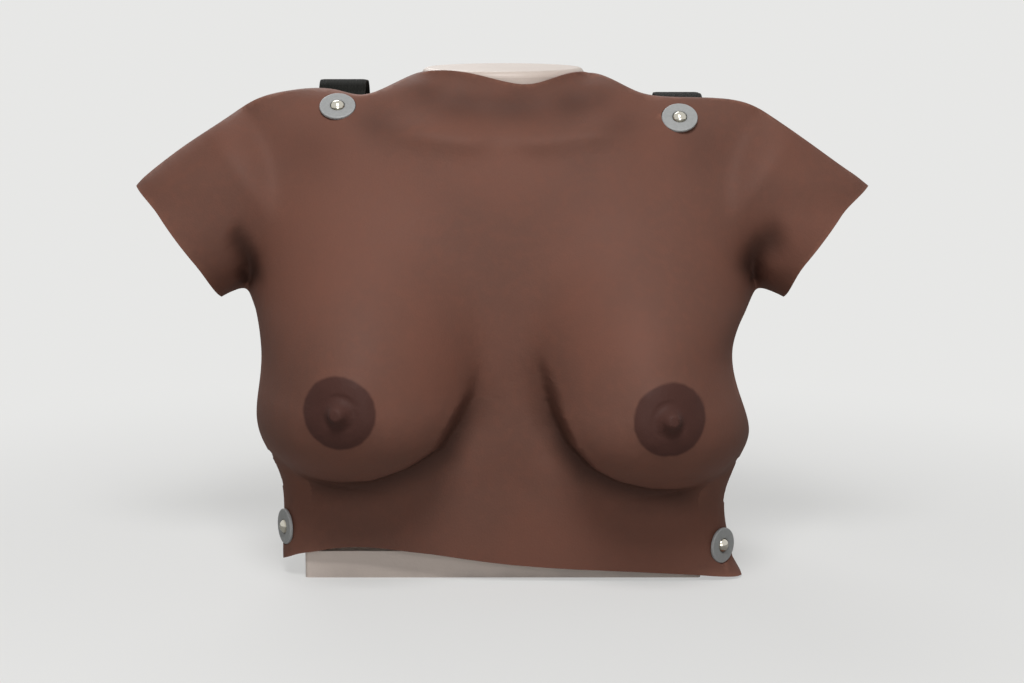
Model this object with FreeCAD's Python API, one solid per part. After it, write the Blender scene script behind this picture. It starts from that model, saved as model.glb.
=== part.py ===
import FreeCAD, Part
import math
import os

Vector = FreeCAD.Vector

# A breast examination trainer: a soft brown torso skin with two filled breasts,
# worn over a hard cream torso support and held to a webbing harness by four
# domed rivets with washers. Millimetres. X runs across the body, -Y is the
# front, Z is up. While the pieces are modelled, X = 0 is the midline, Y = 0
# is the plane that divides front from back, and Z = 0 is the underside.

# Walls and running clearances
SKIN_WALL = 4.0
SOFT_CLEARANCE = 0.3
BORE_CLEARANCE = 0.2
GRID_STEP = 6.0
FORM_FLOOR = 45.0
FORM_FLOOR_SOFTNESS = 8.0

# Trunk, outer face of the skin: rise over the station below, half width,
# drift to the right, depth in front of Y = 0, squareness of the section
HEM_STATION = (0.0, 148.0, 4.0, 84.0, 6.6)
WAIST_STATION = (47.0, 144.5, 0.5, 85.0, 4.5)
RIB_STATION = (15.0, 148.0, 2.0, 85.0, 4.0)
BREAST_STATION = (26.0, 159.5, 0.5, 86.0, 3.4)
CHEST_STATION = (24.0, 157.5, -2.0, 86.0, 3.0)
FLANK_STATION = (31.0, 151.5, -4.5, 86.0, 2.8)
ARMPIT_STATION = (33.0, 162.0, -1.0, 85.0, 2.6)
SHOULDER_STATION = (54.0, 164.0, 0.0, 83.0, 2.6)
CROWN_STATION = (76.0, 164.0, 0.0, 81.0, 2.6)
STATIONS = (HEM_STATION, WAIST_STATION, RIB_STATION, BREAST_STATION, CHEST_STATION,
            FLANK_STATION, ARMPIT_STATION, SHOULDER_STATION, CROWN_STATION)
EDGE_REACH = 0.975
STEEPEST_FLANK = 3.3


def height_of(station):
    """Height of a station: the rises of all stations up to it."""
    return sum(below[0] for below in STATIONS[:STATIONS.index(station) + 1])


CHEST_Z = height_of(CHEST_STATION)
FLANK_Z = height_of(FLANK_STATION)
ARMPIT_Z = height_of(ARMPIT_STATION)
SHOULDER_Z = height_of(SHOULDER_STATION)
CROWN_Z = height_of(CROWN_STATION)

# Crown of the shoulders and root of the neck
CROWN_START = CROWN_Z - 156.0
CROWN_TOP_LEFT = CROWN_Z + 1.2
CROWN_TOP_RIGHT = CROWN_Z - 2.5
CROWN_SQUARENESS = 2.2
CROWN_STEEPEST = 6.5
NECK_RISE_LEFT = 13.0
NECK_RISE_RIGHT = 10.0
NECK_REACH_LEFT = 66.0
NECK_REACH_RIGHT = 86.0
NECK_HALF_WIDTH = 52.5
NECK_DEPTH = 46.0
NECK_CENTRE_Y = 15.0
NECK_TOP = CROWN_Z + 12.0
NECK_LENGTH = 68.0
NECK_EDGE_RADIUS = 4.0

# Collarbones, the hollows over them and the notch between them
COLLARBONE_HEIGHT = 2.6
COLLARBONE_WIDTH = 6.5
COLLARBONE_INNER = (16.0, CROWN_Z - 29.0)
COLLARBONE_OUTER = (118.0, CROWN_Z - 19.0)
HOLLOW_DEPTH = 3.0
NOTCH_DEPTH = 3.2

# Sleeves: centre of the cut end, slope of the arm and radius
SLEEVE_X = ARMPIT_STATION[1] + 47.5
SLEEVE_Z = ARMPIT_Z + 32.5
SLEEVE_SLOPE = 37.0
SLEEVE_RADIUS = 44.9
SLEEVE_FULLNESS = 47.0
SLEEVE_SEAT_DEPTH = 4.0
SLEEVE_STEEPEST = 3.4
SLEEVE_SOFTNESS = 12.0
SLEEVE_FULL_LENGTH = 60.0
SLEEVE_FADE_LENGTH = 80.0
SLEEVE_FADE_DEPTH = 90.0
ARMPIT_FOLD_DEPTH = 6.0
ARMPIT_FOLD_WIDTH = 5.5

# Breasts: nipple place, reach of the mound to each side, projection
LEFT_NIPPLE = (-98.3, CHEST_Z + 8.5)
RIGHT_NIPPLE = (101.0, CHEST_Z + 4.0)
REACH_INWARD = 82.0
REACH_OUTWARD = 66.0
REACH_DOWN = 57.0
REACH_UP = 124.0
PROJECTION = 72.0
LOWER_FULLNESS = 0.6
UPPER_FULLNESS = 2.1
CREASE_SOFTNESS = 0.07
UPPER_SOFTNESS = 0.5
AREOLA_RADIUS = 22.5
AREOLA_RISE = 1.0
NIPPLE_RADIUS = 6.3
NIPPLE_HEIGHT = 7.0
FILLING_SHARE = 0.9
FILLING_SIDE_GAP = 17.0

# Outline of the skin, seen from the front
HEM_LEFT_CORNER = 10.5
HEM_LEFT = (-120.0, 20.0)
HEM_MIDDLE = (-20.0, 14.8)
HEM_RIGHT = (116.0, 4.6)
HEM_RIGHT_CORNER = 1.2
UNDERARM_X = ARMPIT_STATION[1] + 7.0
UNDERARM_Z = ARMPIT_Z + 0.5
ARMPIT_CORNER_Z = ARMPIT_Z - 8.0
# Shoulders and neckline: distance from the midline, height over CROWN_Z
SHOULDER_LINE_LEFT = ((204.2, -36.5), (172.9, -16.0), (157.3, -6.6), (137.0, -1.6),
                      (106.0, -1.4), (90.5, -3.8), (75.1, 0.6))
SHOULDER_LINE_RIGHT = ((204.2, -40.0), (171.7, -17.6), (156.1, -9.4), (140.7, -6.6),
                       (108.0, -5.6), (88.0, -2.8), (73.8, 3.6))
NECK_CORNER = (55.0, 9.3)
NECKLINE = ((40.0, 9.8), (28.5, 6.6), (17.0, 4.2), (4.0, 5.4), (-18.0, 10.6), (-40.0, 12.2))

# Hard support
SUPPORT_BACK = 70.0
BACK_HALF_WIDTH = ARMPIT_STATION[1] - 4.0
BACK_SQUARENESS = 7.0
BACK_STEEPEST = 4.0
SUPPORT_SIDE_INSET = 9.5
SUPPORT_CROWN_INSET = 6.0
PLINTH_SIDE_ROOM = 22.5
PLINTH_FRONT_ROOM = 12.0
PLINTH_HALF_WIDTH = HEM_STATION[1] - PLINTH_SIDE_ROOM
PLINTH_FRONT = HEM_STATION[3] - PLINTH_FRONT_ROOM
PLINTH_HEIGHT = 17.2
PLINTH_CORNER_RADIUS = 2.4
PLINTH_BACK_RADIUS = 12.0
GROOVE_SIDE_DEPTH = 7.5
GROOVE_FRONT_DEPTH = 12.0
GROOVE_HALF_WIDTH = PLINTH_HALF_WIDTH - GROOVE_SIDE_DEPTH
GROOVE_FRONT = PLINTH_FRONT - GROOVE_FRONT_DEPTH
GROOVE_OVERLAP = 5.0
TRUNK_FOOT = 41.0
SUPPORT_SHOULDER_Z = CROWN_Z - 44.0

# Rivets and washers
LEFT_SHOULDER_RIVET = (-104.7, CROWN_Z - 10.0)
RIGHT_SHOULDER_RIVET = (111.8, CROWN_Z - 17.0)
LEFT_FLANK_RIVET = (-138.6, 31.0)
RIGHT_FLANK_RIVET = (139.4, 20.5)
WASHER_RADIUS = 11.4
WASHER_THICKNESS = 2.2
WASHER_EDGE_RADIUS = 0.8
WASHER_SINK = 1.0
DOME_RADIUS = 4.5
DOME_HEIGHT = 2.9
DOME_SEAT_DEPTH = 0.8
SHANK_RADIUS = 2.0
BACKING_RADIUS = 6.0
BACKING_THICKNESS = 1.0
TAIL_RADIUS = 3.4
TAIL_THICKNESS = 0.8

# Webbing harness
STRAP_WIDTH = 30.0
STRAP_THICKNESS = 1.5
STRAP_GAP = 0.5
STRAP_TAIL = 14.0
LEFT_STRAP_X = -104.0
RIGHT_STRAP_X = 114.0
LEFT_STRAP_ARCH = CROWN_Z + 3.0
RIGHT_STRAP_ARCH = CROWN_Z - 2.5
STRAP_KNEE = 25.0
WAIST_STRAP_WIDTH = 22.0
WAIST_STRAP_Z = 28.5
WAIST_STRAP_SLACK = 4.5
SHOULDER_STRAP_SLACK = 3.5
BACKING_GAP = 0.8
CHANNEL_DEPTH = 8.8
LIP_CLEAR_Y = 15.0
LIP_DROP = 4.0

# Strap adjusters
SLIDER_Z = 165.0
SLIDER_HEIGHT = 27.0
SLIDER_BAR = 6.0
SLIDER_RAIL = 3.2
SLIDER_BAR_THICKNESS = 1.8
SLIDER_SIDE_CLEARANCE = 0.6
SLIDER_FACE_CLEARANCE = 0.3
SLIDER_CORNER_RADIUS = 2.0

# Lumps hidden in the breasts: sideways and upward from the nipple, depth
# behind the skin's outer face, and the three half axes
ROUND_LUMP = (-30.0, 14.0, 22.0, 6.0, 6.0, 6.0)
SMOOTH_LUMP = (10.0, 30.0, 24.0, 9.0, 5.0, 6.5)
DEEP_LUMP = (4.0, -24.0, 26.0, 7.5, 4.5, 5.5)


def smooth_max(a, b, softness):
    return 0.5 * (a + b + math.sqrt((a - b) ** 2 + softness ** 2))


def smooth_step(t):
    t = min(max(t, 0.0), 1.0)
    return t * t * (3.0 - 2.0 * t)


def bell(distance, width):
    return math.exp(-0.5 * (distance / width) ** 2)


def dome(s, squareness, steepest):
    """Superellipse quarter from 1 at s = 0, going on straight once it is steep."""
    s = abs(s)
    q = steepest ** (squareness / (squareness - 1.0))
    turn = (q / (1.0 + q)) ** (1.0 / squareness)
    if s < turn:
        return (1.0 - s ** squareness) ** (1.0 / squareness)
    return (1.0 + q) ** (-1.0 / squareness) - steepest * (s - turn)


def trunk_section(z):
    """Half width, drift, depth and squareness of the trunk at a height."""
    heights = [height_of(station) for station in STATIONS]
    z = min(max(z, heights[0]), heights[-1])
    last = len(STATIONS) - 1
    low = max(i for i in range(last) if heights[i] <= z)
    high = low + 1
    span = heights[high] - heights[low]
    t = (z - heights[low]) / span
    section = []
    for k in range(1, 5):
        start = STATIONS[low][k]
        end = STATIONS[high][k]
        before = max(low - 1, 0)
        after = min(high + 1, last)
        rise_in = (end - STATIONS[before][k]) / (heights[high] - heights[before]) * span
        rise_out = (STATIONS[after][k] - start) / (heights[after] - heights[low]) * span
        section.append((2 * t ** 3 - 3 * t ** 2 + 1) * start
                       + (t ** 3 - 2 * t ** 2 + t) * rise_in
                       + (3 * t ** 2 - 2 * t ** 3) * end
                       + (t ** 3 - t ** 2) * rise_out)
    return section


def crown_top(x):
    """Top of the shoulders, rising to the root of the neck."""
    side = smooth_step(0.5 + 0.5 * x / NECK_HALF_WIDTH)
    left = CROWN_TOP_LEFT + NECK_RISE_LEFT * math.exp(-(x / NECK_REACH_LEFT) ** 4)
    right = CROWN_TOP_RIGHT + NECK_RISE_RIGHT * math.exp(-(x / NECK_REACH_RIGHT) ** 8)
    return left + (right - left) * side


def distance_to_line(x, z, start, end):
    """Distance from a line, and the share of the way along it."""
    run = (end[0] - start[0], end[1] - start[1])
    length = math.hypot(*run)
    along = ((x - start[0]) * run[0] + (z - start[1]) * run[1]) / length
    across = ((x - start[0]) * run[1] - (z - start[1]) * run[0]) / length
    return across, along / length


def collarbones(x, z):
    across, share = distance_to_line(abs(x), z, COLLARBONE_INNER, COLLARBONE_OUTER)
    fade = smooth_step(share * 5.0 + 0.6) * smooth_step((1.0 - share) * 2.5)
    ridge = COLLARBONE_HEIGHT * bell(across, COLLARBONE_WIDTH)
    hollow = HOLLOW_DEPTH * bell(across + 2.2 * COLLARBONE_WIDTH, 1.2 * COLLARBONE_WIDTH)
    notch = NOTCH_DEPTH * bell(x, 9.0) * bell(z - COLLARBONE_INNER[1] - 8.0, 8.0)
    return (ridge - hollow) * fade - notch


def trunk_height(x, z):
    """How far the bare trunk and neck stand in front of Y = 0."""
    half_width, drift, depth, squareness = trunk_section(z)
    across = dome((x - drift) / half_width, squareness, STEEPEST_FLANK * half_width / depth)
    rise = max(z - CROWN_START, 0.0) / (crown_top(x) - CROWN_START)
    crown = dome(rise, CROWN_SQUARENESS, CROWN_STEEPEST)
    share = across * crown if min(across, crown) > 0 else min(across, crown)
    trunk = depth * share
    outer_neck = NECK_HALF_WIDTH + SOFT_CLEARANCE + SKIN_WALL
    neck = (NECK_DEPTH + SKIN_WALL) * dome(x / outer_neck, 2.0, 3.2) - NECK_CENTRE_Y
    return smooth_max(trunk, neck, 9.0) + collarbones(x, z)


def sleeve_height(x, z):
    slope = math.radians(SLEEVE_SLOPE)
    off_x = abs(x) - SLEEVE_X
    off_z = z - SLEEVE_Z
    across = off_x * math.sin(slope) + off_z * math.cos(slope)
    inward = off_z * math.sin(slope) - off_x * math.cos(slope)
    fade = SLEEVE_FADE_DEPTH * smooth_step((inward - SLEEVE_FULL_LENGTH) / SLEEVE_FADE_LENGTH)
    ridge = SLEEVE_FULLNESS * dome(across / SLEEVE_FULLNESS, 2.0, SLEEVE_STEEPEST)
    return ridge + SLEEVE_SEAT_DEPTH - fade


def armpit_fold(x, z):
    start = (UNDERARM_X - 9.0, ARMPIT_CORNER_Z - 6.0)
    end = (UNDERARM_X - 1.0, ARMPIT_CORNER_Z + 50.0)
    across, share = distance_to_line(abs(x), z, start, end)
    fade = smooth_step((share + 0.3) * 2.5) * smooth_step((1.0 - share) * 1.6)
    return ARMPIT_FOLD_DEPTH * bell(across, ARMPIT_FOLD_WIDTH) * fade


def breast_reach(outward, upward):
    """How far the mound reaches in a direction away from its nipple."""
    across = REACH_OUTWARD if outward > 0 else REACH_INWARD
    along = REACH_UP if upward > 0 else REACH_DOWN
    away = math.hypot(outward, upward)
    if away == 0:
        return across
    return (across * outward ** 2 + along * upward ** 2) / away ** 2


def breast_height(x, z, nipple):
    outward = (x - nipple[0]) * math.copysign(1.0, nipple[0])
    upward = z - nipple[1]
    away = math.hypot(outward, upward)
    share = away / breast_reach(outward, upward)
    raised = 0.5 + 0.5 * (upward / away if away > 0 else 0.0)
    softness = CREASE_SOFTNESS + UPPER_SOFTNESS * raised ** 3
    rest = smooth_max(1.0 - share * share, 0.0, softness) / smooth_max(1.0, 0.0, softness)
    fullness = LOWER_FULLNESS + (UPPER_FULLNESS - LOWER_FULLNESS) * raised ** 3
    return PROJECTION * rest ** fullness


def body_height(x, z):
    """Trunk, neck, sleeves and breasts together."""
    height = smooth_max(trunk_height(x, z), sleeve_height(x, z), SLEEVE_SOFTNESS)
    height -= armpit_fold(x, z)
    height += breast_height(x, z, LEFT_NIPPLE) + breast_height(x, z, RIGHT_NIPPLE)
    return smooth_max(height, -FORM_FLOOR, FORM_FLOOR_SOFTNESS)


def skin_height(x, z):
    height = body_height(x, z)
    for nipple in (LEFT_NIPPLE, RIGHT_NIPPLE):
        away = math.hypot(x - nipple[0], z - nipple[1])
        height += AREOLA_RISE * smooth_step((AREOLA_RADIUS + 3.0 - away) / 6.0)
    return height


def back_height(x, z):
    across = dome(x / BACK_HALF_WIDTH, BACK_SQUARENESS, BACK_STEEPEST)
    rise = max(z - CROWN_START, 0.0) / (crown_top(x) - CROWN_START)
    return SUPPORT_BACK * min(across, dome(rise, BACK_SQUARENESS, BACK_STEEPEST))


def surface_point(height, x, z, inset):
    """Point of a front face, moved inward at right angles to it."""
    step = 0.5
    lean_x = (height(x + step, z) - height(x - step, z)) / (2.0 * step)
    lean_z = (height(x, z + step) - height(x, z - step)) / (2.0 * step)
    outward = Vector(-lean_x, -1.0, -lean_z).normalize()
    return Vector(x, -height(x, z), z) - outward * inset, outward


FIELD_HALF_WIDTH = SLEEVE_X + SLEEVE_RADIUS
FIELD_BOTTOM = -12.0
FIELD_TOP = NECK_TOP + 14.0


def steps(start, end):
    count = int(math.ceil((end - start) / GRID_STEP))
    return [start + (end - start) * i / count for i in range(count + 1)]


def face_of(height, inset, half_width=FIELD_HALF_WIDTH, facing=1.0):
    """Smooth face through a grid of points of one of the forms above."""
    rows = []
    for x in steps(-half_width, half_width):
        row = []
        for z in steps(FIELD_BOTTOM, FIELD_TOP):
            point, outward = surface_point(height, x, z, inset)
            row.append(Vector(point.x, facing * point.y, point.z))
        rows.append(row)
    surface = Part.BSplineSurface()
    surface.interpolate(rows)
    return surface.toShape()


def solid_from(shape):
    """One closed solid, turned so that its volume is positive."""
    solid = shape.Solids[0] if shape.Solids else Part.Solid(shape.Shells[0])
    if solid.Volume < 0:
        solid.reverse()
    return solid


SLAB_LENGTH = 2.0 * (BREAST_STATION[3] + PROJECTION + FORM_FLOOR)


def behind(face, length=SLAB_LENGTH):
    return solid_from(face.extrude(Vector(0, length, 0)))


def in_front(face, length=SLAB_LENGTH):
    return solid_from(face.extrude(Vector(0, -length, 0)))


def curve_through(points):
    curve = Part.BSplineCurve()
    curve.interpolate([Vector(p[0], 0, p[1]) for p in points])
    return curve.toShape()


def straight(start, end):
    return Part.makeLine(Vector(start[0], 0, start[1]), Vector(end[0], 0, end[1]))


def prism(edges):
    """Block through the whole depth of the torso, with this outline."""
    front = BREAST_STATION[3] + PROJECTION + FORM_FLOOR
    back = SUPPORT_BACK + FORM_FLOOR
    wire = Part.Wire(Part.__sortEdges__(edges))
    face = Part.Face(wire)
    face.translate(Vector(0, -front, 0))
    return solid_from(face.extrude(Vector(0, front + back, 0)))


def flank(z, side, inset=0.0):
    half_width, drift, depth, squareness = trunk_section(z)
    return (drift + side * (half_width * EDGE_REACH - inset), z)


def sleeve_corner(side, up):
    slope = math.radians(SLEEVE_SLOPE)
    return (side * (SLEEVE_X + up * SLEEVE_RADIUS * math.sin(slope)),
            SLEEVE_Z + up * SLEEVE_RADIUS * math.cos(slope))


def skin_outline():
    """Front view of the skin: hem, flanks, sleeves, shoulders and neckline."""
    left_corner = flank(HEM_LEFT_CORNER, -1)
    right_corner = flank(HEM_RIGHT_CORNER, 1)
    edges = [curve_through([left_corner, HEM_LEFT, HEM_MIDDLE, HEM_RIGHT, right_corner])]
    for side, corner in ((-1, left_corner), (1, right_corner)):
        armpit = flank(ARMPIT_CORNER_Z, side)
        rise = [corner]
        for share in (0.12, 0.26, 0.4, 0.52, 0.64, 0.76, 0.88):
            rise.append(flank(corner[1] + share * (ARMPIT_CORNER_Z - corner[1]), side))
        rise.append(armpit)
        underarm = (side * UNDERARM_X, UNDERARM_Z)
        low = sleeve_corner(side, -1)
        high = sleeve_corner(side, 1)
        line = SHOULDER_LINE_LEFT if side < 0 else SHOULDER_LINE_RIGHT
        shoulder = [high] + [(side * p[0], CROWN_Z + p[1]) for p in line]
        shoulder.append((side * NECK_CORNER[0], CROWN_Z + NECK_CORNER[1]))
        edges.append(curve_through(rise))
        edges.append(curve_through([armpit, underarm, low]))
        edges.append(straight(low, high))
        edges.append(curve_through(shoulder))
    neck = [NECK_CORNER] + list(NECKLINE) + [(-NECK_CORNER[0], NECK_CORNER[1])]
    edges.append(curve_through([(p[0], CROWN_Z + p[1]) for p in neck]))
    return prism(edges)


def revolved(points, place, outward):
    """Solid turned about an axis through a place, from (radius, height) points."""
    corners = [Vector(p[0], 0, p[1]) for p in points]
    wire = Part.makePolygon(corners + corners[:1])
    solid = solid_from(Part.Face(wire).revolve(Vector(0, 0, 0), Vector(0, 0, 1), 360))
    return placed(solid, place, outward)


def placed(solid, place, outward):
    turn = FreeCAD.Rotation(Vector(0, 0, 1), outward)
    solid.Placement = FreeCAD.Placement(place, turn).multiply(solid.Placement)
    return solid


def pin(radius, low, high, place, outward):
    solid = Part.makeCylinder(radius, high - low, Vector(0, 0, low))
    return placed(solid, place, outward)


def washer_solid(place, outward):
    """Grey washer with rounded rims and a shallow seat for the dome."""
    disc = Part.makeCylinder(WASHER_RADIUS, WASHER_THICKNESS, Vector(0, 0, -WASHER_SINK))
    disc = disc.makeFillet(WASHER_EDGE_RADIUS, disc.Edges)
    top = WASHER_THICKNESS - WASHER_SINK
    seat = Part.makeCylinder(DOME_RADIUS + BORE_CLEARANCE, top, Vector(0, 0, top - DOME_SEAT_DEPTH))
    bore = Part.makeCylinder(SHANK_RADIUS + BORE_CLEARANCE, 4 * WASHER_THICKNESS,
                             Vector(0, 0, -2 * WASHER_THICKNESS))
    return placed(solid_from(disc.cut(seat).cut(bore)), place, outward)


def grip_depth(way):
    """From the skin's outer face to the backing washer."""
    slack = WAIST_STRAP_SLACK if way == "round" else SHOULDER_STRAP_SLACK
    return SKIN_WALL + STRAP_GAP + slack + STRAP_THICKNESS + BACKING_GAP


def backing_solid(place, outward, grip):
    top = -grip
    disc = Part.makeCylinder(BACKING_RADIUS, BACKING_THICKNESS, Vector(0, 0, top - BACKING_THICKNESS))
    bore = Part.makeCylinder(SHANK_RADIUS + BORE_CLEARANCE, 2 * BACKING_THICKNESS,
                             Vector(0, 0, top - 1.5 * BACKING_THICKNESS))
    return placed(solid_from(disc.cut(bore)), place, outward)


def rivet_solid(place, outward, grip):
    """Domed head, shank and the tail spread over the backing washer."""
    seat = WASHER_THICKNESS - WASHER_SINK - DOME_SEAT_DEPTH
    tail_top = -grip - BACKING_THICKNESS
    ball = (DOME_RADIUS ** 2 + DOME_HEIGHT ** 2) / (2 * DOME_HEIGHT)
    rim = 0.5
    head = Part.makeSphere(ball, Vector(0, 0, seat + rim + DOME_HEIGHT - ball))
    head = head.common(Part.makeCylinder(DOME_RADIUS, DOME_HEIGHT + rim, Vector(0, 0, seat + rim)))
    flange = Part.makeCylinder(DOME_RADIUS, rim, Vector(0, 0, seat))
    shank = Part.makeCylinder(SHANK_RADIUS, seat - tail_top + 0.2, Vector(0, 0, tail_top - 0.1))
    tail = Part.makeCylinder(TAIL_RADIUS, TAIL_THICKNESS, Vector(0, 0, tail_top - TAIL_THICKNESS))
    whole = head.fuse([flange, shank, tail]).removeSplitter()
    return placed(solid_from(whole), place, outward)


def seat_in_skin(place, outward):
    """The flat the washer presses into the skin, and the hole for the shank."""
    pocket = pin(WASHER_RADIUS + SOFT_CLEARANCE, -WASHER_SINK - BORE_CLEARANCE, 12.0, place, outward)
    hole = pin(SHANK_RADIUS + SOFT_CLEARANCE, -3 * SKIN_WALL, 0.0, place, outward)
    return pocket.fuse(hole)


def band(path, thickness, width, middle, upright):
    """Flat strip of webbing along a curve, with its width along X or along Z."""
    curve = Part.BSplineCurve()
    curve.interpolate([Vector(*p) for p in path])
    count = 6 * len(path)
    sides = ([], [])
    width_way = Vector(0, 0, 1) if upright else Vector(1, 0, 0)
    for i in range(count + 1):
        at = curve.FirstParameter + (curve.LastParameter - curve.FirstParameter) * i / count
        point = curve.value(at)
        across = curve.tangent(at)[0].cross(width_way).normalize() * (0.5 * thickness)
        sides[0].append(point + across)
        sides[1].append(point - across)
    edges = []
    for side in sides:
        line = Part.BSplineCurve()
        line.interpolate(side)
        edges.append(line.toShape())
    edges.append(Part.makeLine(sides[0][0], sides[1][0]))
    edges.append(Part.makeLine(sides[0][-1], sides[1][-1]))
    face = Part.Face(Part.Wire(Part.__sortEdges__(edges)))
    face.translate(width_way * (middle - 0.5 * width))
    return solid_from(face.extrude(width_way * width))


def strap_layer(depth_below_skin):
    return SKIN_WALL + STRAP_GAP + depth_below_skin


WAIST_STRAP_Y = SUPPORT_BACK + STRAP_GAP + 0.5 * STRAP_THICKNESS
BACK_STRAP_Y = WAIST_STRAP_Y + STRAP_THICKNESS + STRAP_GAP


def shoulder_path(rivet, strap_x, arch, inset):
    """Line of a shoulder strap, from under the skin over the crown to the back."""
    line = SHOULDER_LINE_LEFT if strap_x < 0 else SHOULDER_LINE_RIGHT
    crest = CROWN_Z + line[4][1]
    low = rivet[1] - STRAP_TAIL
    path = []
    for share in (0.0, 0.25, 0.5, 0.75, 1.0):
        z = low + share * (crest - low)
        point, outward = surface_point(body_height, strap_x, z, inset)
        path.append((0.0, point.y, point.z))
    ledge = crest - SUPPORT_CROWN_INSET
    path.append((0.0, 0.2 * LIP_CLEAR_Y, crest - LIP_DROP))
    path.append((0.0, LIP_CLEAR_Y, arch - 1.2))
    path.append((0.0, LIP_CLEAR_Y + 20.0, arch - 1.2))
    path.append((0.0, BACK_STRAP_Y - 14.0, max(ledge + 3.5, arch - 6.0)))
    path.append((0.0, BACK_STRAP_Y - 2.5, ledge - 12.0))
    return path


def shoulder_strap(rivet, strap_x, arch):
    """Arched front stretch and the straight fall down the back, sewn as one."""
    inset = strap_layer(SHOULDER_STRAP_SLACK + 0.5 * STRAP_THICKNESS)
    path = shoulder_path(rivet, strap_x, arch, inset)
    foot = WAIST_STRAP_Z - 0.5 * WAIST_STRAP_WIDTH
    knee = path[-1][2] - STRAP_KNEE
    for share in (0.0, 0.25, 0.5, 0.75, 1.0):
        path.append((0.0, BACK_STRAP_Y, knee + share * (foot - knee)))
    return band(path, STRAP_THICKNESS, STRAP_WIDTH, strap_x, False)


def strap_channel(rivet, strap_x, arch):
    """Room in the support for a strap and the rivet's tail behind it."""
    inset = SKIN_WALL + 0.5 * CHANNEL_DEPTH
    path = shoulder_path((rivet[0], rivet[1] - 4.0), strap_x, arch, inset)[:8]
    return band(path, CHANNEL_DEPTH + 2.0, STRAP_WIDTH + 3.0, strap_x, False)


def flank_path(rivet, side):
    """Waist strap from under the skin to the corner of the plinth."""
    inset = strap_layer(WAIST_STRAP_SLACK + 0.5 * STRAP_THICKNESS)
    path = []
    for step in (-11.0, -6.0, -2.0, 0.0, 1.2):
        x = rivet[0] + side * step
        point, outward = surface_point(body_height, x, rivet[1], inset)
        path.append((point.x, point.y, 0.0))
    room = STRAP_GAP + 0.5 * STRAP_THICKNESS
    beside = GROOVE_HALF_WIDTH + room
    bend = PLINTH_BACK_RADIUS + room
    middle = (beside - bend, WAIST_STRAP_Y - bend)
    path.append((side * (beside + 4.0), 0.0, 0.0))
    path.append((side * (beside + 0.4), 30.0, 0.0))
    for turn in (0.0, 22.5, 45.0, 67.5, 90.0):
        around = math.radians(turn)
        path.append((side * (middle[0] + bend * math.cos(around)),
                     middle[1] + bend * math.sin(around), 0.0))
    return path


def waist_strap():
    left = flank_path(LEFT_FLANK_RIVET, -1)
    right = flank_path(RIGHT_FLANK_RIVET, 1)
    end_left = left[-1][0]
    end_right = right[-1][0]
    across = []
    for share in (0.08, 0.3, 0.5, 0.7, 0.92):
        across.append((end_left + share * (end_right - end_left), WAIST_STRAP_Y, 0.0))
    path = left + across + right[::-1]
    return band(path, STRAP_THICKNESS, WAIST_STRAP_WIDTH, WAIST_STRAP_Z, True)


def box_between(x, y, z):
    return Part.makeBox(x[1] - x[0], y[1] - y[0], z[1] - z[0], Vector(x[0], y[0], z[0]))


def tier(half_width, front, low, high):
    """Upright block of the support's foot, with tight front and wide back corners."""
    block = box_between((-half_width, half_width), (-front, SUPPORT_BACK), (low, high))
    corners = [e for e in block.Edges if e.BoundBox.ZLength > 1.0 and e.BoundBox.YMax < 0]
    block = block.makeFillet(PLINTH_CORNER_RADIUS, corners)
    corners = [e for e in block.Edges if e.BoundBox.ZLength > 1.0 and e.BoundBox.YMin > 0]
    return block.makeFillet(PLINTH_BACK_RADIUS, corners)


def slider_solid(strap_x):
    """Moulded adjuster: the webbing passes behind its middle bar."""
    half = 0.5 * STRAP_WIDTH + SLIDER_SIDE_CLEARANCE + SLIDER_RAIL
    inner = half - SLIDER_RAIL
    strap_front = BACK_STRAP_Y - 0.5 * STRAP_THICKNESS - SLIDER_FACE_CLEARANCE
    strap_back = BACK_STRAP_Y + 0.5 * STRAP_THICKNESS + SLIDER_FACE_CLEARANCE
    front = strap_front - SLIDER_BAR_THICKNESS
    back = strap_back + SLIDER_BAR_THICKNESS
    low = SLIDER_Z - 0.5 * SLIDER_HEIGHT
    high = SLIDER_Z + 0.5 * SLIDER_HEIGHT
    middle = (SLIDER_Z - 0.5 * SLIDER_BAR, SLIDER_Z + 0.5 * SLIDER_BAR)
    block = box_between((-half, half), (front, back), (low, high))
    corners = [e for e in block.Edges if abs(e.Vertexes[0].Z - e.Vertexes[1].Z) < 0.01
               and abs(e.Vertexes[0].X - e.Vertexes[1].X) < 0.01]
    block = block.makeFillet(SLIDER_CORNER_RADIUS, corners)
    across = (-inner, inner)
    reach = 1.0
    block = block.cut(box_between(across, (strap_front, strap_back), (low - reach, high + reach)))
    block = block.cut(box_between(across, (front - reach, strap_back),
                                  (low + SLIDER_BAR, high - SLIDER_BAR)))
    for z in ((low - reach, middle[0]), (middle[1], high + reach)):
        block = block.cut(box_between(across, (strap_front, back + reach), z))
    block.translate(Vector(strap_x, 0, 0))
    return solid_from(block)


def ellipsoid(centre, half_axes, growth):
    ball = Part.makeSphere(1.0)
    matrix = FreeCAD.Matrix()
    matrix.scale(half_axes[0] + growth, half_axes[1] + growth, half_axes[2] + growth)
    ball = ball.transformGeometry(matrix)
    ball.translate(centre)
    return ball


def lump_place(nipple, lump):
    outward = math.copysign(1.0, nipple[0])
    x = nipple[0] + outward * lump[0]
    z = nipple[1] + lump[1]
    return Vector(x, -body_height(x, z) + lump[2], z)


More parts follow.
